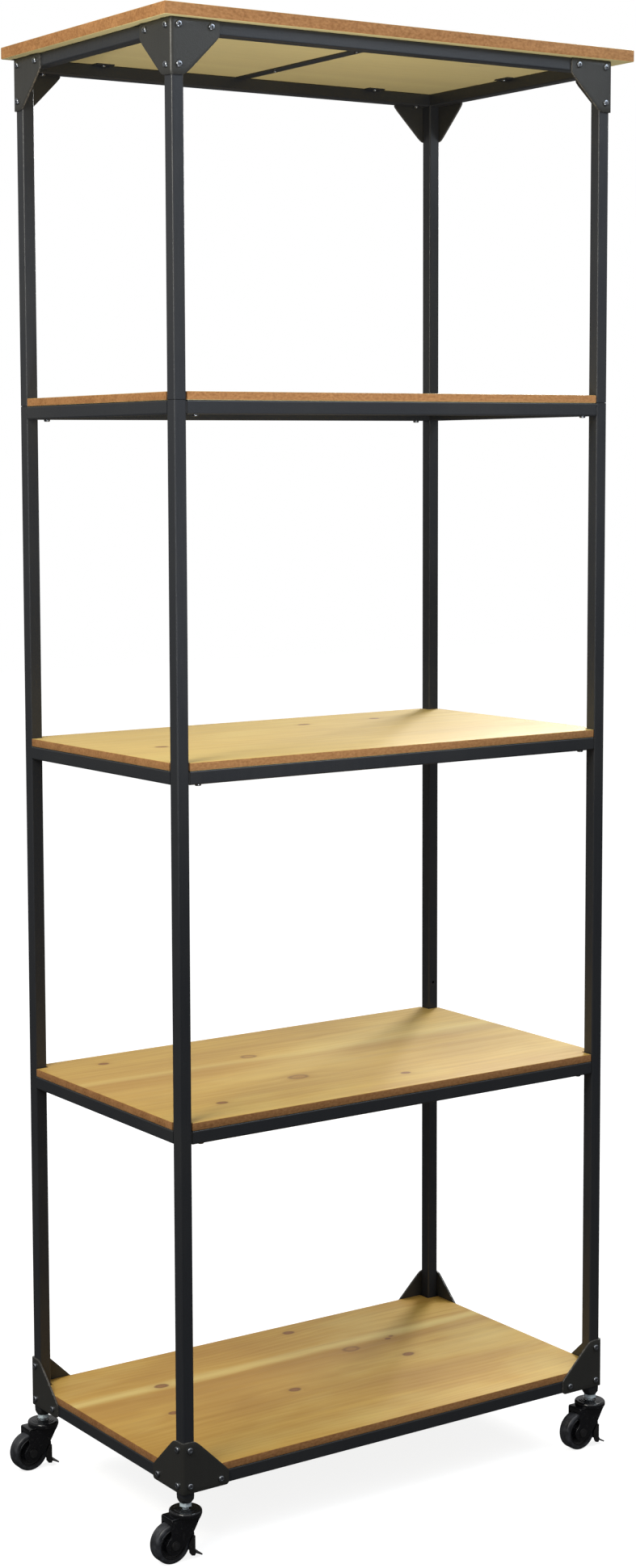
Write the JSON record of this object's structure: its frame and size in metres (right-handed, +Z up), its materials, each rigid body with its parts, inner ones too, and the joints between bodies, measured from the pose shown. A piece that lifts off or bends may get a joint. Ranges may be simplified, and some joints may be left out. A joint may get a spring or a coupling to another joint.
{
  "type": "bookcase",
  "caption": "Tall open bookcase with a square steel tube frame, pine shelf boards, bolted corner brackets and braked swivel casters.",
  "frame": {"origin": "on the floor, under the middle of the steel frame", "axes": "+X to the right along the shelves, +Y from front to back, +Z up"},
  "size_m": [0.886, 0.469, 2.222],
  "materials": {
    "frame_steel": "satin powder coat with a fine texture",
    "bracket_steel": "satin powder coat with bright cut edges",
    "inner_steel": "satin",
    "pine_board": "clear satin varnish over knotty pine",
    "screw_steel": "plain bright steel",
    "zinc_steel": "zinc plated",
    "plug_plastic": "matt black",
    "caster_black": "gloss black",
    "axle_steel": "satin black",
    "brake_steel": "satin black",
    "wheel_rubber": "satin dark grey with a worn tread"
  },
  "bodies": {
    "frame": {"front_left_lower_post": "frame_steel", "front_right_lower_post": "frame_steel", "back_left_lower_post": "frame_steel", "back_right_lower_post": "frame_steel", "front_left_upper_post": "frame_steel", "front_right_upper_post": "frame_steel", "back_left_upper_post": "frame_steel", "back_right_upper_post": "frame_steel", "bottom_side_rails": "frame_steel", "second_side_rails": "frame_steel", "third_side_rails": "frame_steel", "fourth_side_rails": "frame_steel", "top_side_rails": "frame_steel", "bottom_long_rails": "frame_steel", "second_long_rails": "frame_steel", "third_long_rails": "frame_steel", "fourth_long_rails": "frame_steel", "top_long_rails": "frame_steel", "bottom_shelf_board": "pine_board", "second_shelf_board": "pine_board", "third_shelf_board": "pine_board", "fourth_shelf_board": "pine_board", "top_board": "pine_board", "front_left_top_bracket": "bracket_steel", "front_right_top_bracket": "bracket_steel", "back_left_top_bracket": "bracket_steel", "back_right_top_bracket": "bracket_steel", "front_left_foot_bracket": "bracket_steel", "front_right_foot_bracket": "bracket_steel", "back_left_foot_bracket": "bracket_steel", "back_right_foot_bracket": "bracket_steel", "post_sleeves": "inner_steel", "rail_stubs": "inner_steel", "rail_lock_screws": "screw_steel", "crossbars": "frame_steel", "board_tabs": "frame_steel", "board_screws": "screw_steel", "bracket_screws": "screw_steel", "post_plugs": "plug_plastic", "caster_stems": "zinc_steel", "stem_nuts": "zinc_steel"},
    "front_left_swivel": {"front_left_fork": "caster_black", "front_left_axle": "axle_steel"},
    "front_left_wheel": {"front_left_wheel": "wheel_rubber"},
    "front_left_brake": {"front_left_brake": "brake_steel"},
    "front_right_swivel": {"front_right_fork": "caster_black", "front_right_axle": "axle_steel"},
    "front_right_wheel": {"front_right_wheel": "wheel_rubber"},
    "front_right_brake": {"front_right_brake": "brake_steel"},
    "back_left_swivel": {"back_left_fork": "caster_black", "back_left_axle": "axle_steel"},
    "back_left_wheel": {"back_left_wheel": "wheel_rubber"},
    "back_left_brake": {"back_left_brake": "brake_steel"},
    "back_right_swivel": {"back_right_fork": "caster_black", "back_right_axle": "axle_steel"},
    "back_right_wheel": {"back_right_wheel": "wheel_rubber"},
    "back_right_brake": {"back_right_brake": "brake_steel"}
  },
  "joints": [
    {"name": "front_left_turn", "type": "hinge", "parent": "frame", "child": "front_left_swivel", "pos_m": [-0.39, -0.21, 0.07], "axis": [0, 0, 1], "continuous": true},
    {"name": "front_left_roll", "type": "hinge", "parent": "front_left_swivel", "child": "front_left_wheel", "pos_m": [-0.417, -0.21, 0.03], "axis": [0, 1, 0], "continuous": true},
    {"name": "front_left_brake_press", "type": "hinge", "parent": "front_left_swivel", "child": "front_left_brake", "pos_m": [-0.38732, -0.21, 0.04855], "axis": [0, 1, 0], "range_deg": [0, 2.5]},
    {"name": "front_right_turn", "type": "hinge", "parent": "frame", "child": "front_right_swivel", "pos_m": [0.39, -0.21, 0.07], "axis": [0, 0, 1], "continuous": true},
    {"name": "front_right_roll", "type": "hinge", "parent": "front_right_swivel", "child": "front_right_wheel", "pos_m": [0.363, -0.21, 0.03], "axis": [0, 1, 0], "continuous": true},
    {"name": "front_right_brake_press", "type": "hinge", "parent": "front_right_swivel", "child": "front_right_brake", "pos_m": [0.39268, -0.21, 0.04855], "axis": [0, 1, 0], "range_deg": [0, 2.5]},
    {"name": "back_left_turn", "type": "hinge", "parent": "frame", "child": "back_left_swivel", "pos_m": [-0.39, 0.21, 0.07], "axis": [0, 0, 1], "continuous": true},
    {"name": "back_left_roll", "type": "hinge", "parent": "back_left_swivel", "child": "back_left_wheel", "pos_m": [-0.417, 0.21, 0.03], "axis": [0, 1, 0], "continuous": true},
    {"name": "back_left_brake_press", "type": "hinge", "parent": "back_left_swivel", "child": "back_left_brake", "pos_m": [-0.38732, 0.21, 0.04855], "axis": [0, 1, 0], "range_deg": [0, 2.5]},
    {"name": "back_right_turn", "type": "hinge", "parent": "frame", "child": "back_right_swivel", "pos_m": [0.39, 0.21, 0.07], "axis": [0, 0, 1], "continuous": true},
    {"name": "back_right_roll", "type": "hinge", "parent": "back_right_swivel", "child": "back_right_wheel", "pos_m": [0.363, 0.21, 0.03], "axis": [0, 1, 0], "continuous": true},
    {"name": "back_right_brake_press", "type": "hinge", "parent": "back_right_swivel", "child": "back_right_brake", "pos_m": [0.39268, 0.21, 0.04855], "axis": [0, 1, 0], "range_deg": [0, 2.5]}
  ]
}
